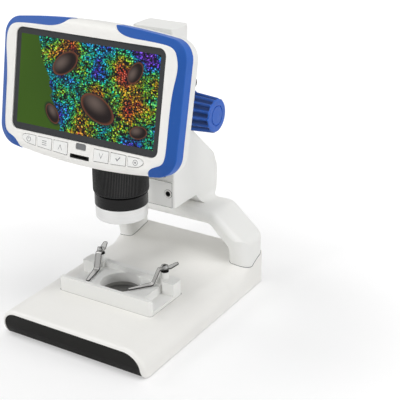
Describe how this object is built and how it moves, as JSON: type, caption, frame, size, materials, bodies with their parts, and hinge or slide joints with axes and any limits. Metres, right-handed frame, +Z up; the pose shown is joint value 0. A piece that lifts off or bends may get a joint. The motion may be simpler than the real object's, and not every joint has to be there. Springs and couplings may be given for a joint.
{
  "type": "lcd digital microscope",
  "caption": "Desktop digital microscope with a display head on a rack-driven column, lens barrel, clip stage and fluted focus knobs.",
  "frame": {"origin": "middle of the footprint at the underside of the rubber feet", "axes": "+X to the right across the stand, +Y from the front panel to the back, +Z up"},
  "size_m": [0.1464, 0.1794, 0.2312],
  "materials": {
    "white_shell": "fine satin moulding",
    "black_plastic": "satin",
    "blue_rubber": "soft overmoulding",
    "blue_plastic": "semi-gloss moulding",
    "grey_rubber": "matt",
    "grey_plastic": "satin",
    "spring_steel": "fine brushed",
    "bright_steel": "plated",
    "silver_ring": "turned and brushed",
    "machined": "milled",
    "brass": "cut",
    "cover_glass": "polished with a dark border",
    "lens_glass": "coated",
    "lcd": "lit panel",
    "circuit": "solder mask",
    "cell_wrap": "foil wrap",
    "lamp": "diffusing",
    "key_white": "satin"
  },
  "bodies": {
    "stand": {"base_shell": "white_shell", "base_tray": "black_plastic", "rubber_feet": "grey_rubber", "arm_bolts": "bright_steel", "stage_disc": "grey_plastic", "stage_plate": "white_shell", "clip_screw_left": "bright_steel", "clip_screw_right": "bright_steel", "clip_spring_left": "black_plastic", "clip_spring_right": "black_plastic", "arm": "white_shell", "column_housing": "white_shell", "column_back_cover": "white_shell", "column_front_panel": "white_shell", "power_jack": "black_plastic", "bush_left": "black_plastic", "bush_right": "black_plastic", "guide_channel": "black_plastic"},
    "left_clip": {"clip_left": "spring_steel"},
    "right_clip": {"clip_right": "spring_steel"},
    "focus_shaft": {"pinion_shaft": "bright_steel", "pinion": "brass", "knob_right": "blue_plastic", "knob_left": "blue_plastic"},
    "lock": {"lock_screw": "black_plastic"},
    "head": {"carriage": "machined", "rack": "brass", "camera_pod": "white_shell", "display_frame": "white_shell", "display_back": "white_shell", "bumper_left": "blue_rubber", "bumper_right": "blue_rubber", "screen_glass": "cover_glass", "lcd_panel": "lcd", "ir_window": "grey_plastic", "card_socket": "black_plastic", "key_board": "circuit", "display_screws": "bright_steel", "main_board": "circuit", "battery": "cell_wrap", "lens_tube": "machined", "sensor_board": "circuit", "barrel_sleeve": "black_plastic", "light_ring": "silver_ring", "light_window": "lens_glass", "light_board": "circuit", "lamps": "lamp", "lens_cell": "black_plastic", "objective_lens": "lens_glass"},
    "ring": {"zoom_ring": "black_plastic"},
    "key_power_cap": {"key_power": "key_white"},
    "key_menu_cap": {"key_menu": "key_white"},
    "key_up_cap": {"key_up": "key_white"},
    "key_down_cap": {"key_down": "key_white"},
    "key_ok_cap": {"key_ok": "key_white"},
    "key_record_cap": {"key_record": "key_white"}
  },
  "joints": [
    {"name": "focus_slide", "type": "slide", "parent": "stand", "child": "head", "axis": [0, 0, 1], "range_m": [-0.036, 0.01]},
    {"name": "focus_turn", "type": "hinge", "parent": "stand", "child": "focus_shaft", "pos_m": [0, 0.03611, 0.152], "axis": [1, 0, 0], "range_deg": [-130, 462]},
    {"name": "lock_turn", "type": "hinge", "parent": "stand", "child": "lock", "pos_m": [0.017, 0.03371, 0.1744], "axis": [1, 0, 0], "range_deg": [0, 540]},
    {"name": "ring_turn", "type": "hinge", "parent": "head", "child": "ring", "pos_m": [0, -0.01979, 0.118], "axis": [0, 0, 1], "range_deg": [-110, 110]},
    {"name": "clip_left_swing", "type": "hinge", "parent": "stand", "child": "left_clip", "pos_m": [-0.029, -0.00879, 0.0434], "axis": [0, 0, 1], "range_deg": [-13, 41]},
    {"name": "clip_right_swing", "type": "hinge", "parent": "stand", "child": "right_clip", "pos_m": [0.029, -0.00879, 0.0434], "axis": [0, 0, 1], "range_deg": [-20, 34]},
    {"name": "key_power_press", "type": "slide", "parent": "head", "child": "key_power_cap", "axis": [0, 0.9816, -0.1908], "range_m": [0, 0.0005], "stiffness_N_per_m": 600},
    {"name": "key_menu_press", "type": "slide", "parent": "head", "child": "key_menu_cap", "axis": [0, 0.9816, -0.1908], "range_m": [0, 0.0005], "stiffness_N_per_m": 600},
    {"name": "key_up_press", "type": "slide", "parent": "head", "child": "key_up_cap", "axis": [0, 0.9816, -0.1908], "range_m": [0, 0.0005], "stiffness_N_per_m": 600},
    {"name": "key_down_press", "type": "slide", "parent": "head", "child": "key_down_cap", "axis": [0, 0.9816, -0.1908], "range_m": [0, 0.0005], "stiffness_N_per_m": 600},
    {"name": "key_ok_press", "type": "slide", "parent": "head", "child": "key_ok_cap", "axis": [0, 0.9816, -0.1908], "range_m": [0, 0.0005], "stiffness_N_per_m": 600},
    {"name": "key_record_press", "type": "slide", "parent": "head", "child": "key_record_cap", "axis": [0, 0.9816, -0.1908], "range_m": [0, 0.0005], "stiffness_N_per_m": 600}
  ],
  "couplings": [
    {"joint": "focus_turn", "follows": "focus_slide", "rad_per_m": -222.22}
  ]
}
